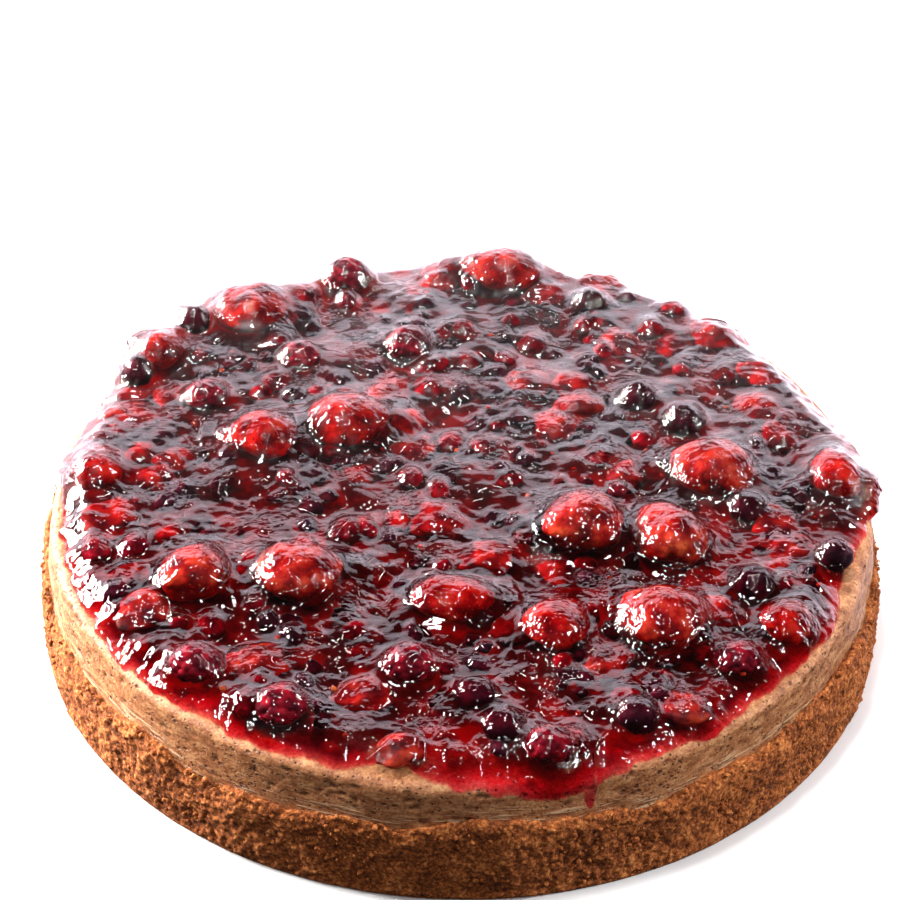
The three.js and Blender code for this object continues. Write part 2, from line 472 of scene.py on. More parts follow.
@dataclass(frozen=True)
class WhippedMousse:
    """Set chocolate mousse: whipped and moulded in a ring. A soft satin with small air holes, painted dark as
    shade.
    """

    shaded: str = "#7c4726"
    body: str = "#a76c44"
    light: str = "#c99364"
    cream: str = "#d8b086"
    # painted shade inside the air holes and pores
    hole_shade: str = "#5c3219"
    juice_dark: str = "#260814"
    juice: str = "#520c1c"
    juice_light: str = "#941a22"
    streak_width: float = 2.6
    bubble_width: float = 0.9
    juice_width: float = 9.0
    line_width: float = 1.2  # cream lines that the ring has drawn near the sponge
    line_length: float = 9.0  # times as long as wide
    fold_width: float = 1.6
    pore_depth: float = 0.45
    fold_depth: float = 0.25
    line_depth: float = 0.5
    bubble_depth: float = 0.25
    fine_pores: Span = (1.5, 0.26)  # their spacing, and the widest radius as a share of it
    coarse_pores: Span = (3.4, 0.2)
    roughness: float = 0.55

    def material(self) -> Material:
        """Builds the finish."""
        constants = {"Roughness": self.roughness, "IOR": FOOD_IOR}
        made, tree, shader = new_material("whipped_chocolate_mousse", constants)
        side, hole_shade, soaked, low = (
            add_node(tree, "Attribute", attribute_name=name).outputs["Fac"]
            for name in ("side", "hole_shade", "soaked", "low")
        )
        bubbles = pattern(tree, self.bubble_width, 3, fineness=0.7)
        body = self._body(tree, bubbles)
        long = self.line_length
        lines = pattern(tree, self.line_width, 2, (long, long, 0.9))
        inputs = {"Value": lines, "From Min": 0.52, "From Max": 0.66}
        lines = add_node(tree, "MapRange", inputs).outputs[0]
        lines = add_node(tree, "Math", {0: lines, 1: low}, operation="MULTIPLY").outputs[0]
        inputs = {0: lines, 6: body, 7: linear(self.cream)}
        body = add_node(tree, "Mix", inputs, data_type="RGBA").outputs[2]
        # pores and air holes dent the side and are painted dark as shade
        fine = pores(tree, *self.fine_pores, (1.15, 1.15, 0.95))
        coarse = pores(tree, *self.coarse_pores, (1.3, 1.3, 0.9))
        pitted = add_node(tree, "Math", {0: fine, 1: coarse}, operation="MAXIMUM").outputs[0]
        pitted = add_node(tree, "Math", {0: pitted, 1: side}, operation="MULTIPLY").outputs[0]
        dark = add_node(tree, "Math", {0: hole_shade, 1: pitted}, operation="MAXIMUM").outputs[0]
        inputs = {0: dark, 6: body, 7: linear(self.hole_shade)}
        skin = add_node(tree, "Mix", inputs, data_type="RGBA").outputs[2]
        stops = {0.38: self.juice_dark, 0.5: self.juice, 0.64: self.juice_light}
        inputs = {"Fac": pattern(tree, self.juice_width, 3)}
        juice = add_node(tree, "ValToRGB", inputs, stops).outputs["Color"]
        colour = add_node(tree, "Mix", {0: soaked, 6: skin, 7: juice}, data_type="RGBA").outputs[2]
        tree.links.new(colour, shader.inputs["Base Color"])
        level = add_node(tree, "Math", {0: 1.0, 1: pitted}, operation="SUBTRACT").outputs[0]
        folds = pattern(tree, self.fold_width, 2, (5.0, 5.0, 1.0))
        depths = (self.pore_depth, self.fold_depth, self.line_depth, self.bubble_depth)
        lay_relief(tree, shader, zip((level, folds, lines, bubbles), depths))
        return made

    def _body(self, tree: NodeTree, bubbles: NodeSocket) -> NodeSocket:
        """The mousse's colour: random streaks of tone, with painted shade where the bubbles' relief dips,
        between its shaded and light tones.

        Args:
            tree: the material's node tree.
            bubbles: the pattern of fine bubbles.

        Returns:
            The colour.
        """
        streaks = pattern(tree, self.streak_width, 2, (1.8, 1.8, 0.8), 0.6)
        mottle = add_node(tree, "Math", {0: streaks, 1: bubbles}, operation="ADD").outputs[0]
        inputs = {"Value": mottle, "From Min": 0.68, "From Max": 1.32}
        mottle = add_node(tree, "MapRange", inputs).outputs[0]
        stops = {0.1: self.shaded, 0.5: self.body, 0.9: self.light}
        return add_node(tree, "ValToRGB", {"Fac": mottle}, stops).outputs["Color"]


@dataclass(frozen=True)
class BerryGel:
    """Set berry jelly: clear cooked juice. Bright red where thin, nearly black where deep, and very glossy.

    Its skin has dried a little towards the back, which lays a soft pale haze over the colour there.
    """

    transmitted: tuple[float, float, float, float] = (0.9, 0.03, 0.31, 1.0)
    absorption: float = 1030.0  # per metre, for a colour that isn't let through at all
    fold_width: float = 5.0
    fold_depth: float = 0.4
    crease_width: float = 2.6
    crease_depth: float = 0.12
    pulp_width: float = 2.4
    pulp_depth: float = 0.85
    patch_width: float = 12.0  # of the areas where pulp lies close below the skin
    dullest: float = 0.6  # weight of the dull skin where it has dried most
    tone: str = "#fff6f4"
    roughness: float = 0.02
    dry_roughness: float = 0.3
    dry_ior: float = 1.45

    def material(self) -> Material:
        """Builds the finish."""
        constants = {
            "Base Color": linear(self.tone),
            "Transmission Weight": 1.0,
            "Roughness": self.roughness,
            "IOR": FOOD_IOR,
            "Coat Roughness": self.dry_roughness,
            "Coat IOR": self.dry_ior,
        }
        made, tree, shader = new_material("clear_berry_jelly", constants)
        folds = pattern(tree, self.fold_width, 2, (1.5, 1, 1), 0.35)
        creases = pattern(tree, self.crease_width, 1, (1.8, 1, 1), creased=True)
        inputs = {"Value": pattern(tree, self.patch_width, 2), "From Min": 0.5, "From Max": 0.6}
        patches = add_node(tree, "MapRange", inputs).outputs[0]
        pulpy = add_node(tree, "Attribute", attribute_name="pulpy").outputs["Fac"]
        patches = add_node(tree, "Math", {0: patches, 1: pulpy}, operation="MAXIMUM").outputs[0]
        inputs = {0: patches, 1: pattern(tree, self.pulp_width, 1)}
        pulp = add_node(tree, "Math", inputs, operation="MULTIPLY").outputs[0]
        depths = (self.fold_depth, self.crease_depth, self.pulp_depth)
        lay_relief(tree, shader, zip((folds, creases, pulp), depths))
        dried = add_node(tree, "Attribute", attribute_name="dried").outputs["Fac"]
        dull = add_node(tree, "Math", {0: dried, 1: self.dullest}, operation="MULTIPLY").outputs[0]
        tree.links.new(dull, shader.inputs["Coat Weight"])
        inputs = {"Color": self.transmitted, "Density": self.absorption}
        volume = add_node(tree, "VolumeAbsorption", inputs)
        tree.links.new(volume.outputs[0], tree.nodes["Material Output"].inputs["Volume"])
        return made


@dataclass(frozen=True)
class FruitSkin:
    """Fruit soaked in jelly, whose index is nearly its own: deep colour that varies, and hardly a glint."""

    name: str
    dark: str
    middle: str
    light: str
    mottle_width: float
    roughness: float = 0.4
    grain_width: float = 0.8
    grain_depth: float = 0.15
    ior: float = 1.36
    glint: float = 0.1  # share of the shine it would have in air

    def material(self) -> Material:
        """Builds the finish."""
        constants = {"Roughness": self.roughness, "IOR": self.ior, "Specular IOR Level": self.glint}
        made, tree, shader = new_material(self.name, constants)
        mottle = pattern(tree, self.mottle_width, 3)
        stops = {0.34: self.dark, 0.5: self.middle, 0.68: self.light}
        colour = add_node(tree, "ValToRGB", {"Fac": mottle}, stops).outputs["Color"]
        tree.links.new(colour, shader.inputs["Base Color"])
        lay_relief(tree, shader, [(pattern(tree, self.grain_width, 2), self.grain_depth)])
        return made


@dataclass(frozen=True)
class StudioPaper:
    """Seamless paper: pulp pressed and rolled smooth. A pale, even and quite matt ground."""

    tone: str = "#f4f4f4"
    roughness: float = 0.9

    def material(self) -> Material:
        """Builds the finish."""
        constants = {"Base Color": linear(self.tone), "Roughness": self.roughness}
        return new_material("pale_studio_paper", constants)[0]


STRAWBERRY_SKIN = FruitSkin("ripe_strawberry_skin", "#3c0a08", "#7a1b10", "#b04a28", 6.0)
RED_BERRY_SKIN = FruitSkin("ripe_drupelet_skin", "#26060e", "#520b1a", "#861a2a", 4.0)
DARK_BERRY_SKIN = FruitSkin("blue_black_berry_skin", "#0d050b", "#1e0814", "#3c1020", 5.0)
SLICE_FLESH = FruitSkin("cooked_strawberry_flesh", "#2c070a", "#661410", "#9c301b", 6.0)
ACHENE_SHELL = FruitSkin("strawberry_achene_shell", "#5c1e10", "#843e18", "#a4642c", 3.0)
PIP_SHELL = FruitSkin("berry_pip_shell", "#661a0c", "#8c3818", "#a0522a", 2.0)


# ---- The cake's form ----


Swell = Triple  # its height in millimetres, and its bearing and half width in degrees


@dataclass(frozen=True)
class CakeForm:
    """Sizes that the layers share, the same as the solids have."""

    radius: float = 130.0
    sponge_height: float = 26.0
    sponge_raggedness: float = 2.6
    seam_start: float = 118.0
    mousse_top: float = 41.0
    mousse_radius: float = 127.9
    rim_radius: float = 126.4
    rim_round: float = 3.2
    jelly_level: float = 48.0
    jelly_radius: float = 124.0
    edge_wave: float = 1.3
    top_wave: float = 1.1
    lobe_bearing: float = -81.0
    lobe_spread: float = 13.0
    lobe_length: float = 5.5
    drip_bearing: float = -72.5
    drip_spread: float = 0.85  # degrees to each side
    drip_length: float = 8.0
    seam_swells: tuple[Swell, ...] = ((3, -88, 24), (-3, -140, 26))
    edge_swells: tuple[Swell, ...] = ((3, 6, 9), (-7, -98, 5), (-4, -15, 6))

    @property
    def flat_end(self) -> float:
        """Where the mousse's flat top ends and its rounded rim starts."""
        return self.rim_radius - self.rim_round

    def seam_rise(self, angle: np.ndarray) -> np.ndarray:
        """How far the sponge's top edge lies above its middle height at a bearing."""
        ragged = self.sponge_raggedness * wave(angle, (3, 7, 13, 22), 2.1)
        return ragged + sum(rise * bump(angle, *where) for rise, *where in self.seam_swells)

    def jelly_reach(self, angle: np.ndarray) -> np.ndarray:
        """How far the jelly reaches from the middle at a bearing, along the surface it lies on."""
        even = self.jelly_radius + self.edge_wave * wave(angle, (5, 9, 16, 27), 4.3)
        swells = sum(out * bump(angle, *where) for out, *where in self.edge_swells)
        return even + self.lobe_length * self.lobe(angle) + swells

    def lobe(self, angle: np.ndarray) -> np.ndarray:
        """How much of the jelly's broad front lobe lies at a bearing, from 0 to 1."""
        return bump(angle, self.lobe_bearing, self.lobe_spread)

    def drip(self, angle: np.ndarray) -> np.ndarray:
        """How far the thin drip runs down at a bearing, beyond the jelly's reach."""
        off = (np.degrees(angle) - self.drip_bearing) / self.drip_spread
        return self.drip_length * np.sqrt(np.clip(1 - off**2, 0, 1))

    def jelly_waves(self, x: np.ndarray, y: np.ndarray) -> np.ndarray:
        """Height of the jelly's middle surface."""
        swell = np.sin(x / 11 + 1.6 * np.sin(y / 17)) * np.cos(y / 8.5 + 1.3 * np.sin(x / 21))
        return self.jelly_level + self.top_wave * (swell + 0.6 * np.sin(x / 5.7 - y / 9.3 + 2))

    def run_to(self, radius: np.ndarray, height: np.ndarray) -> np.ndarray:
        """The length along the mousse's surface from its middle to a place on it."""
        drop = np.clip(self.mousse_top - height, 0, None)
        turn = np.arccos(1 - np.clip(drop / self.rim_round, 0, 1))
        over = self.flat_end + self.rim_round * turn + np.maximum(drop - self.rim_round, 0)
        return np.where(radius < self.flat_end, radius, over)

    def over_mousse(self, reach: np.ndarray) -> tuple[np.ndarray, ...]:
        """Where a run of that length from the middle ends on the mousse: across it, round its rim, down it.

        Args:
            reach: lengths along the mousse's surface.

        Returns:
            Radius and height there, and the surface's outward and upward share.
        """
        turn = np.clip((reach - self.flat_end) / self.rim_round, 0, math.pi / 2)
        down = np.maximum(reach - self.flat_end - self.rim_round * math.pi / 2, 0)
        taper = (self.mousse_radius - self.rim_radius) / (self.mousse_top - self.sponge_height)
        radius = np.minimum(reach, self.flat_end) + self.rim_round * np.sin(turn) + taper * down
        height = self.mousse_top - self.rim_round * (1 - np.cos(turn)) - down
        return radius, height, np.sin(turn), np.cos(turn)


FORM = CakeForm()


# ---- Sponge ----


@dataclass
class Sponge:
    """The sponge with its crumbly side."""

    form: CakeForm = FORM
    sectors: int = 1300
    rows: int = 44
    foot_rings: tuple[float, ...] = (6.0, 2.5)  # in from the side, on the underside
    top_rings: tuple[float, ...] = (2.0, 2.8, 4.0, 6.0, 12.0)  # and on the top
    edge_round: float = 1.4
    edge_height: float = 5.0  # of the rounded part below the top
    chip_width: float = 5.0
    chip_depth: float = 1.3
    swell_width: float = 9.0
    swell_depth: float = 0.7
    lump_width: float = 2.6
    lump_depth: float = 1.15
    crumb_width: float = 1.3
    crumb_depth: float = 0.8
    crumb_reach: float = 5.5  # how far in from the side the crumb goes
    clear_foot: float = 2.5  # height over which the crumb fades to the flat underside

    def build(self) -> Object:
        """Models the sponge.

        Returns:
            The piece that stands for the sponge's solid.
        """
        form, radius, height = self.form, self.form.radius, self.form.sponge_height
        section = [(0, 0), *((radius - inward, 0) for inward in self.foot_rings)]
        for row in range(1, self.rows + 1):
            rise = height * row / self.rows
            rounding = max(0, 1 - (height - rise) / self.edge_height) ** 2
            section.append((radius - self.edge_round * rounding, rise))
        section += [(radius - inward, height) for inward in self.top_rings] + [(0, height)]
        mesh = turned("sponge_crumb", section, self.sectors)
        places = coordinates(mesh)
        angle, out, high = polar(places)
        chips = self.chip_depth * grain(places * (1, 1, 0), self.chip_width, Grain.BILLOWS, 3)
        inward = soft_step(out, form.seam_start, radius)
        high = high + (form.seam_rise(angle) + chips) * inward * (high / height) ** 2
        crumbs = self._crumbs(places)
        stand = 0.6 * wave(angle, (11, 19, 29), 3.3) + crumbs
        skin = (out > radius - self.crumb_reach) * soft_step(high, 0, self.clear_foot)
        out = out + stand * skin
        high = high + 0.5 * crumbs * skin * (places[:, 2] >= height)
        place_vertices(mesh, from_polar(angle, out, high))
        # the crumbs' height, which the finish turns into painted shade in the gaps and painted light on the
        # tips
        paint(mesh, "stand", np.clip((crumbs + 1.6) / 2.6, 0, 1))
        return show(mesh, BakedCrumb().material(), ["sponge"])

    def _crumbs(self, places: np.ndarray) -> np.ndarray:
        """How far each point stands out of the smooth side, as rounded crumbs with gaps between."""
        lumps = 0.55 - grain(places, self.lump_width, Grain.CELLS, 1)
        crumbs = 0.5 - grain(places, self.crumb_width, Grain.CELLS, 2)
        swell = grain(places, self.swell_width, Grain.BILLOWS, 4)
        return self.lump_depth * lumps + self.crumb_depth * crumbs + self.swell_depth * swell


@dataclass
class LooseCrumbs:
    """Crumbs that stick to the sponge's side."""

    form: CakeForm = FORM
    count: int = 3000
    smallest: float = 0.28
    largest: float = 1.3
    mostly_small: float = 2.5  # power that keeps large crumbs rare
    stuck_in: Span = (-0.8, 0.2)  # where their middles lie beside the smooth side
    squash: Span = (0.6, 1.3)
    roughness: float = 0.35
    rough_width: float = 0.9
    seed: int = 5

    def build(self) -> Object:
        """Scatters the crumbs.

        Returns:
            All of them as one piece.
        """
        draw = random.Random(self.seed)
        places = [self._drawn(draw) for _ in range(self.count)]
        mesh = scattered("loose_crumbs", places)
        rough = coordinates(mesh)
        parts = [grain(rough, self.rough_width, Grain.SMOOTH, seed) for seed in (1, 2, 3)]
        place_vertices(mesh, rough + self.roughness * np.stack(parts, axis=1))
        # as crumbs that stand out, they get the finish's painted light
        paint(mesh, "stand", np.full(len(mesh.vertices), 0.75))
        return show(mesh, BakedCrumb().material())

    def _drawn(self, draw: random.Random) -> Matrix:
        """Draws one crumb's place, turn and size."""
        angle = draw.uniform(-math.pi, math.pi)
        top = self.form.sponge_height + float(self.form.seam_rise(np.array(angle)))
        size = self.smallest + (self.largest - self.smallest) * draw.random() ** self.mostly_small
        high = draw.uniform(1.3 * size + 0.4, top + 1)
        out = self.form.radius + draw.uniform(*self.stuck_in) - 0.3 * size
        axis = Vector((draw.uniform(-1, 1), draw.uniform(-1, 1), 1))
        turn = Matrix.Rotation(draw.uniform(0, math.pi), 3, axis)
        halves = [size * draw.uniform(*self.squash) for _ in range(3)]
        return pose_of(from_polar(angle, out, high), turn, halves)


# ---- Mousse ----


@dataclass
class Mousse:
    """The mousse with its rounded rim, air holes and creases."""

    form: CakeForm = FORM
    sectors: int = 1100
    rows: int = 34
    lowest: float = 19.0
    inner_radius: float = 110.0
    shelf: float = 6.0  # how far in from the rim the fine rows run
    swell_width: float = 14.0
    swell_depth: float = 0.5
    crease_width: float = 3.2
    crease_depth: float = 0.22
    holes: int = 240
    hole_depth: float = 0.9
    hole_lengths: Span = (0.7, 2.0)
    hole_heights: Span = (0.4, 0.8)
    hole_levels: Span = (24.0, 37.0)  # the lowest, and where most of them are
    lines_from: float = 6.0  # above the sponge, from where cream lines show downward
    soaked_from: float = 0.3  # inward of the jelly's edge
    soaking: float = 6.0
    lobe_soaking: float = 9.0  # more of it under the lobe, which is thin and bright
    drip_stain: float = 0.35
    seed: int = 11

    def build(self) -> Object:
        """Models the mousse.

        Returns:
            The piece that stands for the mousse's solid.
        """
        form = self.form
        run_end = form.flat_end + form.rim_round * (math.pi / 2 - 1) + form.mousse_top - self.lowest
        run_start = form.flat_end - self.shelf
        radius, height, *_ = form.over_mousse(np.linspace(run_end, run_start, self.rows + 1))
        section = [(0, self.lowest), (self.inner_radius, self.lowest), *zip(radius, height)]
        section += [(run_start - 10, form.mousse_top), (0, form.mousse_top)]
        mesh = turned("mousse_layer", section, self.sectors)
        places = coordinates(mesh)
        angle, out, high = polar(places)
        side = soft_step(out, form.flat_end - 4, form.rim_radius)
        swell = self.swell_depth * grain(places * (1, 1, 0.6), self.swell_width, Grain.SMOOTH, 2)
        creases = np.clip(grain(places * (0.35, 0.35, 1), self.crease_width, Grain.RIDGES, 5), 0, 1)
        dents, hole_shade = self._holes(angle * form.rim_radius, high)
        move = 0.4 * wave(angle, (4, 11, 19), 0.6) + swell - self.crease_depth * creases - dents
        place_vertices(mesh, from_polar(angle, out + side * move, high))
        # painted shade in the air holes, on the side only
        paint(mesh, "hole_shade", hole_shade * side)
        paint(mesh, "side", side)
        above_seam = high - form.sponge_height - form.seam_rise(angle)
        paint(mesh, "low", soft_step(self.lines_from - above_seam, 0, 5))
        paint(mesh, "soaked", self._soaked(angle, form.run_to(out, high)))
        return show(mesh, WhippedMousse().material(), ["mousse"])

    def _soaked(self, angle: np.ndarray, run: np.ndarray) -> np.ndarray:
        """How much juice has soaked in from the jelly and its drip.

        Args:
            angle: bearings.
            run: lengths along the mousse's surface from its middle.

        Returns:
            0 to 1 at each place.
        """
        inward = self.form.jelly_reach(angle) - run - self.soaked_from
        soaked = soft_step(inward / (self.soaking + self.lobe_soaking * self.form.lobe(angle)), 0, 1)
        drip = self.form.drip(angle)
        below_drip = soft_step(drip + inward, 0, 2) * (drip > 0)
        return np.maximum(soaked, self.drip_stain * below_drip)

    def _holes(self, along: np.ndarray, high: np.ndarray) -> tuple[np.ndarray, np.ndarray]:
        """Air holes in the side.

        Args:
            along: each point's place round the cake, in millimetres.
            high: its height.

        Returns:
            How deep each point lies in its dent in millimetres, and 0 to 1 how far into one it is, the mask
            for painted shade in the air holes.
        """
        draw = random.Random(self.seed)
        depth = np.zeros(len(along))
        around = 2 * math.pi * self.form.rim_radius
        lowest, commonest = self.hole_levels
        order = np.argsort(along)
        ranked = along[order]
        for _ in range(self.holes):
            x = draw.uniform(-around / 2, around / 2)
            z = draw.triangular(lowest, self.form.mousse_top, commonest)
            long, tall = draw.uniform(*self.hole_lengths), draw.uniform(*self.hole_heights)
            first, last = np.searchsorted(ranked, (x - 3 * long, x + 3 * long))
            near = order[first:last]
            far = ((along[near] - x) / long) ** 2 + ((high[near] - z) / tall) ** 2
            depth[near] = np.maximum(depth[near], np.exp(-far) * draw.uniform(0.5, 1.0))
        return self.hole_depth * depth, soft_step(depth, 0.25, 0.6)


# ---- Fruit ----


@dataclass
class Fruit:
    """A berry lying in the jelly. Sizes run along it, across it and up."""

    name: str
    middle: np.ndarray
    size: np.ndarray
    turn: float
    subdivisions: int = 5
    film: ClassVar[float] = 0.7  # how thick the jelly lies on it
    fillet: ClassVar[float] = 3.8  # how softly that runs into the level round it
    deeper: ClassVar[float] = 0.0  # how much thicker it lies on a low one
    low_heights: ClassVar[Span] = (14.0, 11.0)  # from where a berry is low, and wholly so

    @classmethod
    def at_node(cls, node: str) -> "Fruit":
        """Reads a berry's place, sizes and direction from its solid in the frame.

        Args:
            node: the solid's name.

        Returns:
            The berry, its narrow end forward.
        """
        places = coordinates(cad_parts[node].data) / MM
        low, high = places.min(axis=0), places.max(axis=0)
        middle = (low + high) / 2
        flat = places[:, :2] - middle[:2]
        _, axes = np.linalg.eigh(flat.T @ flat)
        along = axes[:, 1]
        across = np.array([-along[1], along[0]])
        if np.sum((flat @ along) * (flat @ across) ** 2) > 0:
            along, across = -along, -across
        size = np.array([np.ptp(flat @ along), np.ptp(flat @ across), high[2] - low[2]])
        return cls(node, middle, size, math.atan2(along[1], along[0]))

    def cover(self) -> float:
        """How thick the jelly lies on this berry, in millimetres."""
        return self.film + self.deeper * float(soft_step(self.size[2], *self.low_heights))

    def girth(self, along: np.ndarray) -> np.ndarray:
        """How thick the berry is along its length, as a share of an even round body."""
        return np.ones_like(along)

    def relief(self, directions: np.ndarray) -> np.ndarray:
        """How far the skin stands out in each direction, as a share of the radius."""
        return np.ones(len(directions))

    def local(self, x: np.ndarray, y: np.ndarray) -> tuple[np.ndarray, np.ndarray]:
        """Turns places on the cake to shares of the berry's half length and half width."""
        dx, dy = x - self.middle[0], y - self.middle[1]
        cos, sin = math.cos(self.turn), math.sin(self.turn)
        return (dx * cos + dy * sin) * 2 / self.size[0], (dy * cos - dx * sin) * 2 / self.size[1]

    def top(self, x: np.ndarray, y: np.ndarray) -> np.ndarray:
        """Height of the berry's upper side, which runs on down steeply past its outline.

        Args:
            x: places on the cake.
            y: places on the cake.

        Returns:
            Heights in millimetres.
        """
        turning_point = 0.9
        a, b = self.local(x, y)
        thick = self.girth(np.clip(a, -1, 1))
        far = np.hypot(a, b / thick)
        inside = np.minimum(far, turning_point)
        round_top = np.sqrt(1 - inside**2)
        slope = turning_point / math.sqrt(1 - turning_point**2)
        up = round_top - slope * (far - inside)
        directions = np.stack([a, b / thick, round_top], axis=-1).reshape(-1, 3)
        directions /= np.linalg.norm(directions, axis=1, keepdims=True)
        lumps = self.relief(directions).reshape(a.shape)
        return self.middle[2] + self.size[2] / 2 * thick * up * np.where(up > 0, lumps, 1)

    def mesh(self) -> Mesh:
        """Models the berry.

        Returns:
            Its mesh, in place.
        """

        def build(bm: BMesh) -> None:
            """An even ball to start from."""
            bmesh.ops.create_icosphere(bm, subdivisions=self.subdivisions, radius=1)

        mesh = mesh_of(f"{self.name}_fruit", build)
        place_vertices(mesh, self.shaped(coordinates(mesh)))
        return mesh

    def shaped(self, directions: np.ndarray) -> np.ndarray:
        """Where the skin lies in each direction from the berry's middle.

        Args:
            directions: unit vectors along, across and up.

        Returns:
            Places on the cake.
        """
        skin = directions * self.relief(directions)[:, None]
        thick = self.girth(np.clip(directions[:, 0], -1, 1))[:, None]
        skin = skin * np.hstack([np.ones_like(thick), thick, thick]) * self.size / 2
        cos, sin = math.cos(self.turn), math.sin(self.turn)
        return skin @ np.array([[cos, sin, 0], [-sin, cos, 0], [0, 0, 1]]) + self.middle


@dataclass
class Strawberry(Fruit):
    """A hulled strawberry with a dimple round each achene."""

    achenes: int = 150
    deeper: ClassVar[float] = 1.2
    unevenness: ClassVar[float] = 0.2
    dimple_depth: ClassVar[float] = 0.035
    dimple_width: ClassVar[float] = 0.075  # radians

    def girth(self, along: np.ndarray) -> np.ndarray:
        """Drawn in towards the tip."""
        return 1 - 0.22 * along - 0.1 * along**2

    def relief(self, directions: np.ndarray) -> np.ndarray:
        """Shallow dimples on a slightly uneven body."""
        nearest = np.clip((directions @ even_directions(self.achenes).T).max(axis=1), -1, 1)
        uneven = self.unevenness * grain(directions, 0.9, Grain.SMOOTH, self.turn + self.middle[0])
        dimples = self.dimple_depth * np.exp(-((np.arccos(nearest) / self.dimple_width) ** 2))
        return 1 + uneven - dimples


@dataclass
class DrupeletBerry(Fruit):
    """A raspberry or blackberry: a cluster of swollen drupelets."""

    drupelets: int = 58
    core: ClassVar[float] = 0.86  # radius down in the creases, as a share
    swelling: ClassVar[float] = 0.17
    fillet: ClassVar[float] = 2.2

    def relief(self, directions: np.ndarray) -> np.ndarray:
        """Round drupelets with creases between them."""
        nearest = np.clip((directions @ even_directions(self.drupelets).T).max(axis=1), -1, 1)
        far = np.arccos(nearest) / math.sqrt(4 / self.drupelets)
        return self.core + self.swelling * np.sqrt(np.clip(1 - 0.8 * far**2, 0, 1))


@dataclass
class RoundBerry(Fruit):
    """A blueberry or currant with the small crown of its flower."""

    subdivisions: int = 4
    film: ClassVar[float] = 1.1
    fillet: ClassVar[float] = 3.2
    unevenness: ClassVar[float] = 0.16
    crown_lean: ClassVar[Triple] = (0.75, 0.0, 0.66)  # towards one end and up

    def relief(self, directions: np.ndarray) -> np.ndarray:
        """Smooth, with a dimpled crown at one end."""
        off = np.arccos(np.clip(directions @ np.array(self.crown_lean), -1, 1))
        ring = 0.06 * np.exp(-(((off - 0.34) / 0.1) ** 2))
        pit = 0.1 * np.exp(-((off / 0.22) ** 2))
        return 1 + ring - pit + self.unevenness * grain(directions, 0.9, Grain.SMOOTH, self.middle[1])


@dataclass
class CookedPiece(Fruit):
    """A cut piece of cooked fruit, with no even shape left."""

    film: ClassVar[float] = 0.4
    fillet: ClassVar[float] = 1.2

    def relief(self, directions: np.ndarray) -> np.ndarray:
        """Broad lumps and small ones on them."""
        seed = float(self.middle[0] + self.middle[1])
        broad = grain(directions, 1.0, Grain.SMOOTH, seed)
        return 1 + 0.5 * broad + 0.14 * grain(directions, 0.35, Grain.SMOOTH, seed)


FRUIT_KINDS: dict[Slot, tuple[type[Fruit], FruitSkin]] = {
    Slot.STRAWBERRY: (Strawberry, STRAWBERRY_SKIN),
    Slot.RED_BERRY: (DrupeletBerry, RED_BERRY_SKIN),
    Slot.DARK_BERRY: (RoundBerry, DARK_BERRY_SKIN),
}


@dataclass
class WholeFruit:
    """All berries that stand up in the jelly, one piece for each of the frame's solids."""

    fruit: list[Fruit] = field(default_factory=list)

    def build(self) -> list[Object]:
        """Models every berry.

        Returns:
            The pieces.
        """
        made = []
        for slot, (kind, skin) in FRUIT_KINDS.items():
            material = skin.material()
            for node in sorted(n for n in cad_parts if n.startswith(slot.value)):
                berry = kind.at_node(node)
                self.fruit.append(berry)
                made.append(show(berry.mesh(), material, [node]))
        return made


@dataclass
class Achenes:
    """The achenes on the strawberries."""

    berries: list[Strawberry]
    length: float = 1.1
    width: float = 0.6

    def build(self) -> Object:
        """Sets one achene in each dimple of the upper part of each berry.

        Returns:
            All of them as one piece.
        """
        places = []
        for berry in self.berries:
            directions = even_directions(berry.achenes)
            directions = directions[directions[:, 2] > -0.2]
            for direction, place in zip(directions, berry.shaped(directions)):
                turn = Vector(place - berry.middle).to_track_quat("Z", "X").to_matrix()
                places.append(pose_of(place, turn, (self.length / 2, self.width / 2, self.width / 2.4)))
        mesh = scattered("strawberry_achenes", places)
        return show(mesh, ACHENE_SHELL.material())


@dataclass(frozen=True)
class SunkKind:
    """One kind of sunk fruit: how many, how long, how flat, and its top beside the jelly's level."""

    name: str
    kind: type[Fruit]
    skin: FruitSkin
    slot: Slot
    count: int
    lengths: Span
    flatness: float
    tops: Span
    subdivisions: int


SUNK_KINDS = (
    SunkKind(
        "sunk_strawberry_pieces", CookedPiece, SLICE_FLESH, Slot.STRAWBERRY, 56, (8, 18), 0.5, (-5, -1), 4
    ),
    SunkKind(
        "sunk_dark_berries", CookedPiece, DARK_BERRY_SKIN, Slot.DARK_BERRY, 150, (4, 9), 0.8, (-3, 0.8), 3
    ),
    SunkKind(
        "sunk_red_berries", DrupeletBerry, RED_BERRY_SKIN, Slot.RED_BERRY, 80, (5, 9.5), 0.75, (-3, 1), 4
    ),
)


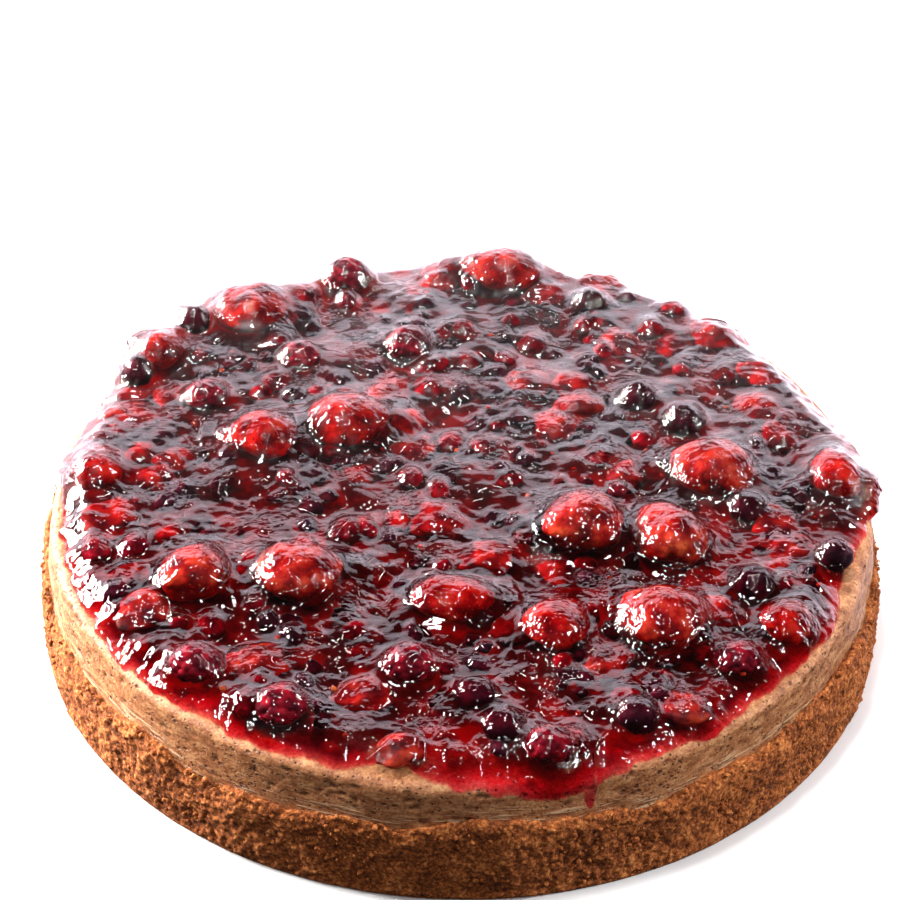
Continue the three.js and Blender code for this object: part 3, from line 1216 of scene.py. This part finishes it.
@dataclass
class SunkFruit:
    """Small fruit, slices and pips that lie wholly in the jelly."""

    standing: list[Fruit]
    form: CakeForm = FORM
    seed: int = 23
    reach: float = 117.0
    tallest: float = 7.0
    apart: float = 0.38  # of both lengths
    widths: Span = (0.7, 0.95)  # of the length
    thinning: Span = (0.8, 1.0)
    above_mousse: float = 0.3
    tries: int = 30
    pips: int = 110
    pip_sizes: Span = (0.4, 0.9)
    pip_depths: Span = (0.6, 3.0)
    fruit: list[Fruit] = field(default_factory=list)

    def build(self) -> list[Object]:
        """Scatters the sunk fruit.

        Returns:
            One piece for each kind.
        """
        draw = random.Random(self.seed)
        made = []
        for plan in SUNK_KINDS:
            batch = [self._drawn(draw, plan) for _ in range(plan.count)]
            batch = [berry for berry in batch if berry is not None]
            self.fruit += batch
            made.append(self._joined(plan, batch))
        made.append(self._pips(draw))
        return made

    def _drawn(self, draw: random.Random, plan: SunkKind) -> Fruit | None:
        """Draws one piece of fruit that clears the ones before it, or None after some tries."""
        for _ in range(self.tries):
            length = draw.uniform(*plan.lengths)
            angle = draw.uniform(-math.pi, math.pi)
            out = self.reach * math.sqrt(draw.random())
            width = length * draw.uniform(*self.widths)
            tall = min(length * plan.flatness * draw.uniform(*self.thinning), self.tallest)
            top = self.form.jelly_level + draw.uniform(*plan.tops)
            bottom = max(top - tall, self.form.mousse_top + self.above_mousse)
            middle = from_polar(angle, out, bottom + tall / 2)
            clear = all(
                np.hypot(*(middle - other.middle)[:2]) > self.apart * (length + other.size[0])
                for other in self.standing + self.fruit
            )
            if clear:
                size = np.array([length, width, tall])
                return plan.kind("sunk", middle, size, draw.uniform(0, 2 * math.pi), plan.subdivisions)
        return None

    def _joined(self, plan: SunkKind, batch: list[Fruit]) -> Object:
        """Joins a batch of fruit into one piece."""

        def build(bm: BMesh) -> None:
            """Adds each berry's own mesh."""
            for berry in batch:
                bm.from_mesh(berry.mesh())

        return show(mesh_of(plan.name, build), plan.skin.material())

    def _pips(self, draw: random.Random) -> Object:
        """Loose orange-red pips just under the jelly's surface."""
        places = []
        for _ in range(self.pips):
            angle = draw.uniform(-math.pi, math.pi)
            out = self.reach * math.sqrt(draw.random())
            high = self.form.jelly_level - draw.uniform(*self.pip_depths)
            size = draw.uniform(*self.pip_sizes)
            turn = Matrix.Rotation(draw.uniform(0, math.pi), 3, "Z")
            places.append(pose_of(from_polar(angle, out, high), turn, (size * 1.3, size, size * 0.8)))
        return show(scattered("loose_pips", places, 2), PIP_SHELL.material())


# ---- Jelly ----


@dataclass
class Jelly:
    """The jelly as one closed body over mousse and fruit."""

    fruit: list[Fruit]
    form: CakeForm = FORM
    cells: int = 308
    film_wave: float = 0.45  # how far the film on the berries thickens in places
    calmer_behind: float = 0.55  # how much lower the ripples are towards the back
    dried_behind: Span = (-40.0, 110.0)  # between which its skin turns from wet to dull
    shoulder: float = 9.0
    lip: float = 0.27  # share of the jelly's depth that stands up at once at its edge
    lip_width: float = 0.6
    rag_width: float = 6.0
    rag_depth: float = 1.5
    drip_depth: float = 1.9
    thinnest: float = 0.12
    under: float = 0.5  # how far its underside lies in the mousse
    under_inset: float = 8.0
    dimple_width: float = 2.6
    dimple_depth: float = 0.16

    def build(self) -> Object:
        """Models the jelly.

        Returns:
            The piece that stands for the jelly's solid.
        """
        mesh = mesh_of("berry_jelly", self._sheet)
        u, v, fold = coordinates(mesh).T
        x, y = u * np.sqrt(1 - v**2 / 2), v * np.sqrt(1 - u**2 / 2)
        angle, share = np.arctan2(y, x), np.hypot(x, y)
        edge = self.form.jelly_radius
        reach = self.form.jelly_reach(angle)
        reach += self.rag_depth * grain(from_polar(angle, edge, 0 * angle), self.rag_width, Grain.BILLOWS, 8)
        full_reach = reach + self.form.drip(angle)
        run = share * (edge + (full_reach - edge) * share**10)
        depth, pulpy = self._depth(run, angle, reach)
        depth = np.maximum(depth, self._tongue(run, angle, reach))
        depth = np.where(fold < -0.5, -self.under, depth)
        run = np.where(fold < -1.5, share * (edge - self.under_inset), run)
        radius, height, outward, upward = self.form.over_mousse(run)
        place_vertices(mesh, from_polar(angle, radius + outward * depth, height + upward * depth))
        paint(mesh, "pulpy", pulpy * (fold > -0.5))
        paint(mesh, "dried", soft_step(run * np.sin(angle), *self.dried_behind))
        jelly = show(mesh, BerryGel().material(), ["jelly"])
        jelly.visible_shadow = False  # clear: the lamps reach what lies in it
        return jelly

    def _sheet(self, bm: BMesh) -> None:
        """A square sheet with two folds below its edge, marked by their height, and a flat underside."""
        bmesh.ops.create_grid(bm, x_segments=self.cells, y_segments=self.cells, size=1)
        for level in (-1, -2):
            rim = [e for e in bm.edges if e.is_boundary]
            grown = bmesh.ops.extrude_edge_only(bm, edges=rim)["geom"]
            for vert in (v for v in grown if isinstance(v, BMVert)):
                vert.co.z = level
        bmesh.ops.contextual_create(bm, geom=[e for e in bm.edges if e.is_boundary])
        bmesh.ops.recalc_face_normals(bm, faces=bm.faces)

    def _tongue(self, run: np.ndarray, angle: np.ndarray, reach: np.ndarray) -> np.ndarray:
        """How thick the drip is at each place, with a bead at its tip."""
        drip, length = self.form.drip(angle), self.form.drip_length
        bead = 0.55 + 0.45 * soft_step((run - reach) / length, 0.2, 0.8)
        tip = np.sqrt(np.clip((reach + drip - run) / 1.5, 0, 1))
        return self.drip_depth * bead * np.sqrt(drip / length) * tip * soft_step(run, reach - 5, reach)

    def _depth(self, run: np.ndarray, angle: np.ndarray, reach: np.ndarray) -> tuple[np.ndarray, np.ndarray]:
        """How thick the jelly lies over the mousse's surface.

        Args:
            run: lengths along that surface from the cake's middle.
            angle: bearings.
            reach: how far the jelly reaches there, without its drip.

        Returns:
            The thickness at each place, and 0 to 1 how close below the skin fruit lies.
        """
        flat = from_polar(angle, run, 0 * run)
        x, y = flat[:, 0], flat[:, 1]
        inward = np.maximum(reach - run, 0)
        lip = self.lip * (1 - np.exp(-inward / self.lip_width))
        edge = lip + (1 - self.lip) * soft_step(inward, 0, self.shoulder)
        calm = 1 - self.calmer_behind * soft_step(y, 0, 100)
        level = (self.form.jelly_waves(x, y) - self.form.mousse_top) * edge
        level += self._ripples(flat, 1.0) * np.minimum(edge * 1.5, 1) * calm
        depth = level.copy()
        thicker = self.film_wave * soft_step(grain(flat, 6, Grain.SMOOTH, 6), -0.2, 0.5)
        bare = np.full(len(run), -9.0)
        for berry in self.fruit:
            far = np.hypot(x - berry.middle[0], y - berry.middle[1])
            near = np.flatnonzero(far < berry.size[0] / 2 + 9)
            top = berry.top(x[near], y[near]) - self.form.mousse_top
            bare[near] = np.maximum(bare[near], top)
            lifted = (top + berry.cover() + thicker[near]) / berry.fillet
            depth[near] = berry.fillet * np.logaddexp(depth[near] / berry.fillet, lifted)
        dimples = self.dimple_depth * grain(flat, self.dimple_width, Grain.SMOOTH, 7)
        depth += (0.3 * self._ripples(flat, 0.5) + dimples) * calm
        depth = np.where(inward <= 0, self.thinnest, np.maximum(depth, np.maximum(bare + 0.2, self.thinnest)))
        return depth, soft_step(bare - level, -1, 0.5)

    def _ripples(self, flat: np.ndarray, scale: float) -> np.ndarray:
        """Creased waves in the jelly's skin, in millimetres."""
        drift = [8 * scale * grain(flat, 16 * scale, Grain.SMOOTH, seed) for seed in (1, 2)]
        warped = flat + np.stack([*drift, np.zeros(len(flat))], axis=1)
        return 0.34 * grain(warped, 7 * scale, Grain.RIDGES, 3) + 0.3 * grain(flat, 4.5, Grain.SMOOTH, 4)


# ---- Studio ----


@dataclass(frozen=True)
class Panel:
    """A soft light that faces the cake."""

    name: str
    place: Triple
    width: float
    height: float
    watts: float
    tint: str = "#ffffff"


PANELS = (
    Panel("left_key", (-1350, 362, 470), 520, 520, 58, "#fffaf4"),
    Panel("rear_left_key", (-1311, 918, 430), 500, 500, 95, "#fffaf4"),
    Panel("right_key", (1500, -60, 720), 340, 340, 24),
    Panel("overhead", (-250, 20, 1900), 480, 300, 27),
    Panel("high_rear_glint", (200, 1000, 1750), 200, 200, 4),
    Panel("high_front_glint", (100, -900, 1750), 200, 200, 6),
    Panel("front_glint_left", (-700, -1300, 900), 110, 110, 2.0),
    Panel("front_glint_right", (450, -1500, 800), 110, 110, 2.0),
)


@dataclass
class Studio:
    """Floor, lights and camera."""

    camera_place: Triple = (0.0, -978.4, 856.1)
    pitch: float = 39.0205  # degrees below the horizon
    yaw: float = -0.2214
    roll: float = 0.8809
    lens: float = 164.93
    aim_height: float = 45.0  # of the point that the lamps face
    floor_reach: float = 6000.0
    air_tint: str = "#f5ebf8"
    air_strength: float = 0.055
    wall_strength: float = 3.7
    wall_top: Span = (0.58, 0.685)  # sines of the elevations between which its light fades
    wall_side: Span = (0.4, 0.7)  # cosines of the bearings between which it fades

    def build(self) -> None:
        """Sets up the studio."""
        self._floor()
        self._world()
        for panel in PANELS:
            self._hang(panel)
        self._camera()
        scene = bpy.context.scene
        scene.view_settings.view_transform = "Standard"
        scene.cycles.caustics_refractive = scene.cycles.caustics_reflective = False
        scene.cycles.max_bounces = scene.cycles.transmission_bounces = 6
        scene.cycles.diffuse_bounces, scene.cycles.glossy_bounces = 1, 2
        scene.cycles.use_light_tree = False

    def _floor(self) -> None:
        """A wide sheet of pale paper at the cake's base."""

        def build(bm: BMesh) -> None:
            """One wide square."""
            bmesh.ops.create_grid(bm, x_segments=1, y_segments=1, size=self.floor_reach)

        mesh = mesh_of("studio_floor", build)
        mesh.transform(Matrix.Scale(MM, 4))
        mesh.materials.append(StudioPaper().material())
        floor = bpy.data.objects.new("studio_floor", mesh)
        bpy.context.scene.collection.objects.link(floor)
        floor.visible_diffuse = floor.visible_glossy = False  # it throws no light back on the cake's side

    def _world(self) -> None:
        """Faint light from all round, and a bright wall behind the cake whose light fades upward."""
        world = bpy.data.worlds.new("studio_air")
        world.use_nodes = True
        tree = world.node_tree
        direction = add_node(tree, "TexCoord").outputs["Generated"]
        axes = add_node(tree, "SeparateXYZ", {0: direction}).outputs
        fades = []
        for axis, dark, bright in (("Z", *reversed(self.wall_top)), ("Y", *self.wall_side)):
            inputs = {"Value": axes[axis], "From Min": dark, "From Max": bright}
            fades.append(add_node(tree, "MapRange", inputs, interpolation_type="SMOOTHSTEP").outputs[0])
        wall = add_node(tree, "Math", dict(enumerate(fades)), operation="MULTIPLY").outputs[0]
        inputs = {0: wall, 1: self.wall_strength, 2: self.air_strength}
        strength = add_node(tree, "Math", inputs, operation="MULTIPLY_ADD").outputs[0]
        background = tree.nodes["Background"]
        background.inputs["Color"].default_value = linear(self.air_tint)
        tree.links.new(strength, background.inputs["Strength"])
        bpy.context.scene.world = world

    def _hang(self, panel: Panel) -> None:
        """Puts up one panel and aims it."""
        light = bpy.data.lights.new(panel.name, "AREA")
        light.shape = "ELLIPSE"
        light.size, light.size_y = panel.width * MM, panel.height * MM
        light.energy = panel.watts
        light.color = linear(panel.tint)[:3]
        lamp = bpy.data.objects.new(panel.name, light)
        spot = Vector(panel.place) * MM
        aim = (Vector((0, 0, self.aim_height)) * MM - spot).to_track_quat("-Z", "Y")
        lamp.matrix_world = Matrix.Translation(spot) @ aim.to_matrix().to_4x4()
        bpy.context.scene.collection.objects.link(lamp)

    def _camera(self) -> None:
        """A long lens from above the front edge."""
        pitch, yaw, roll = (math.radians(a) for a in (self.pitch, self.yaw, self.roll))
        level = math.cos(pitch)
        forward = Vector((math.sin(yaw) * level, math.cos(yaw) * level, -math.sin(pitch)))
        right = forward.cross(Vector((0, 0, 1))).normalized()
        up = right.cross(forward)
        level_right = right * math.cos(roll) + up * math.sin(roll)
        level_up = up * math.cos(roll) - right * math.sin(roll)
        turn = Matrix((level_right, level_up, -forward)).transposed().to_4x4()
        camera = bpy.data.cameras.new("studio_camera")
        camera.lens = self.lens
        camera.sensor_width = 36
        camera.clip_end = 50
        holder = bpy.data.objects.new("studio_camera", camera)
        holder.matrix_world = Matrix.Translation(Vector(self.camera_place) * MM) @ turn
        bpy.context.scene.collection.objects.link(holder)
        bpy.context.scene.camera = holder


def main() -> None:
    """Builds the cake and its studio, and logs each piece's face count."""
    logging.basicConfig(level=logging.INFO, format="%(relativeCreated)6d ms %(message)s")
    Studio().build()
    Sponge().build()
    LooseCrumbs().build()
    Mousse().build()
    whole = WholeFruit()
    whole.build()
    Achenes([berry for berry in whole.fruit if isinstance(berry, Strawberry)]).build()
    sunk = SunkFruit(whole.fruit)
    sunk.build()
    Jelly(whole.fruit + sunk.fruit).build()


if __name__ == "__main__":
    main()
